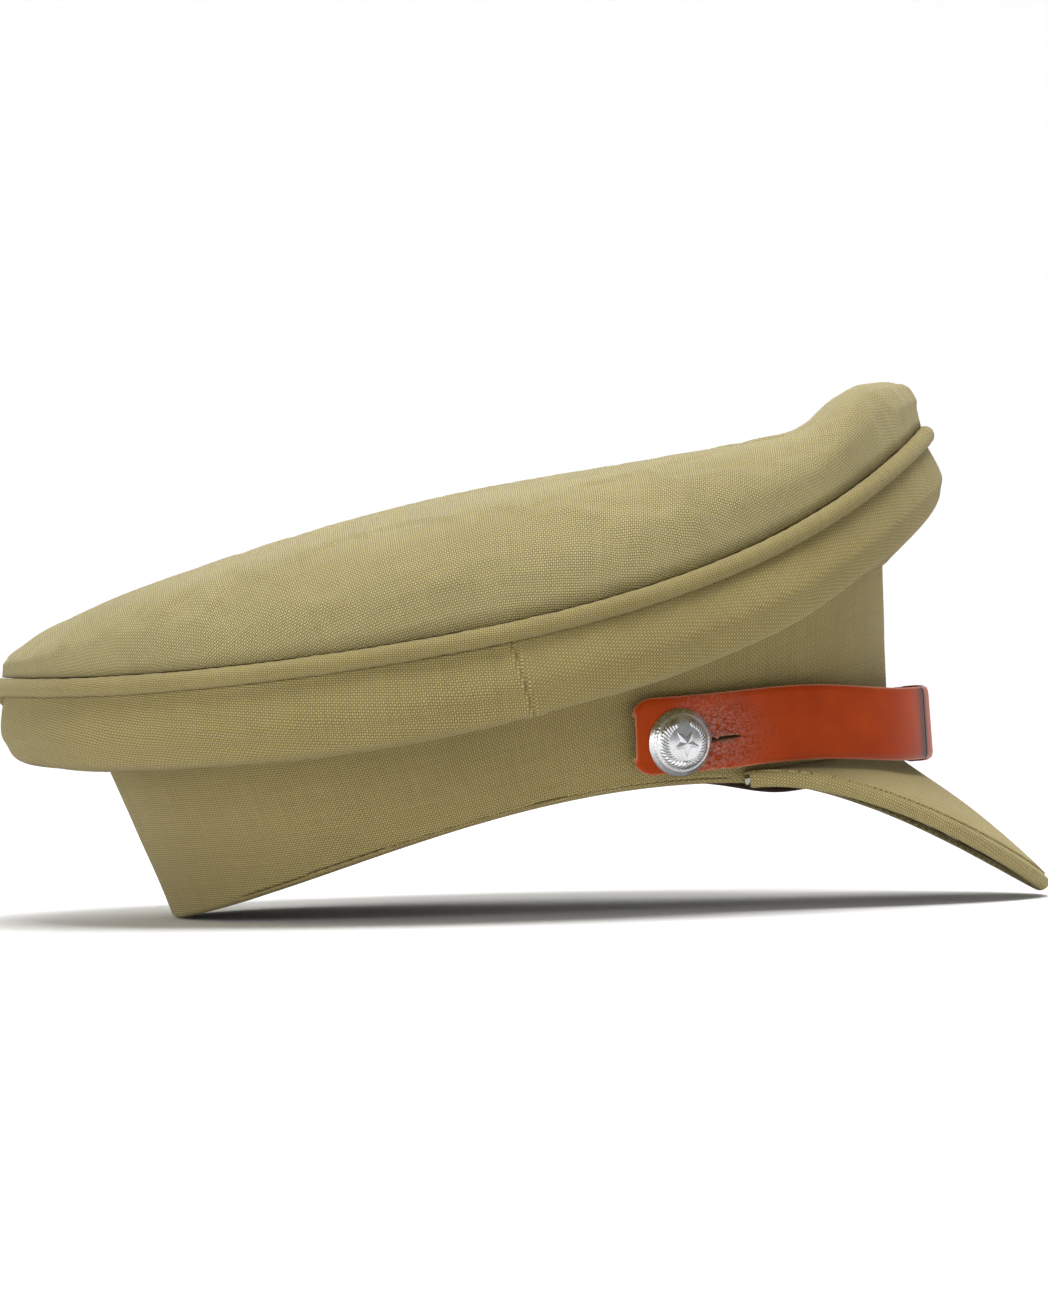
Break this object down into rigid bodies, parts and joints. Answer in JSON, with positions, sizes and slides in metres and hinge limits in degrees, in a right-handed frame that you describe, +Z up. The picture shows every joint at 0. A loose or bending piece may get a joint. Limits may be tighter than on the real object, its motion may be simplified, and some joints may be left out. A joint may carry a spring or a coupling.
{
  "type": "military peaked cap",
  "caption": "Military peaked cap with a padded crown on a wire, an upright band, a sloping cloth peak and a buttoned leather chin strap.",
  "frame": {"origin": "middle of the bounding box on the plane the cap stands on, with the back of the rim and the tip of the peak on that plane", "axes": "+X forward along the peak, +Y to the wearer's left, +Z up"},
  "size_m": [0.2992, 0.2524, 0.1468],
  "materials": {
    "crown_cloth": "plain weave, light khaki",
    "side_cloth": "plain weave, khaki",
    "peak_cloth": "plain weave, khaki",
    "peak_underside": "smooth dark khaki cloth",
    "lining": "satin lining",
    "foam": "soft foam",
    "cord": "twisted cotton cord",
    "wire": "bright",
    "ferrule": "satin",
    "buckram": "stiffened board, off white",
    "strap_leather": "glossy, orange brown",
    "sweat_leather": "dark brown",
    "button_metal": "bright",
    "pin_metal": "satin"
  },
  "bodies": {
    "cap": {"crown_top": "crown_cloth", "crown_padding": "foam", "crown_lining": "lining", "quarter_front_left": "side_cloth", "quarter_front_right": "side_cloth", "quarter_rear_left": "side_cloth", "quarter_rear_right": "side_cloth", "crown_piping": "side_cloth", "piping_cord": "cord", "crown_wire": "wire", "wire_ferrule": "ferrule", "front_stay": "buckram", "band_cover": "side_cloth", "band_stiffener": "buckram", "sweatband": "sweat_leather", "peak_cover": "peak_cloth", "peak_core": "buckram", "peak_lining": "peak_underside", "peak_binding": "peak_cloth"},
    "chin_strap": {"right_strap": "strap_leather", "left_strap": "strap_leather"},
    "right_keeper": {"right_keeper": "strap_leather"},
    "left_keeper": {"left_keeper": "strap_leather"},
    "right_button": {"right_button_dome": "button_metal", "right_button_back": "button_metal", "right_button_shank": "button_metal", "right_split_pin": "pin_metal"},
    "left_button": {"left_button_dome": "button_metal", "left_button_back": "button_metal", "left_button_shank": "button_metal", "left_split_pin": "pin_metal"}
  },
  "joints": [
    {"name": "chin_strap_swing", "type": "hinge", "parent": "cap", "child": "chin_strap", "pos_m": [0.04197, 0, 0.04627], "axis": [0, -1, 0], "range_deg": [0, 7]},
    {"name": "right_keeper_slide", "type": "hinge", "parent": "chin_strap", "child": "right_keeper", "pos_m": [0.04197, 0, 0.04627], "axis": [-0.0481, 0, 0.9988], "range_deg": [-10, 6]},
    {"name": "left_keeper_slide", "type": "hinge", "parent": "chin_strap", "child": "left_keeper", "pos_m": [0.04197, 0, 0.04627], "axis": [0.0481, 0, -0.9988], "range_deg": [-10, 6]},
    {"name": "right_button_turn", "type": "hinge", "parent": "cap", "child": "right_button", "pos_m": [0.0412, -0.08251, 0.04645], "axis": [0.3665, -0.9268, -0.0823], "continuous": true},
    {"name": "left_button_turn", "type": "hinge", "parent": "cap", "child": "left_button", "pos_m": [0.0412, 0.08251, 0.04645], "axis": [0.3665, 0.9268, -0.0823], "continuous": true}
  ]
}
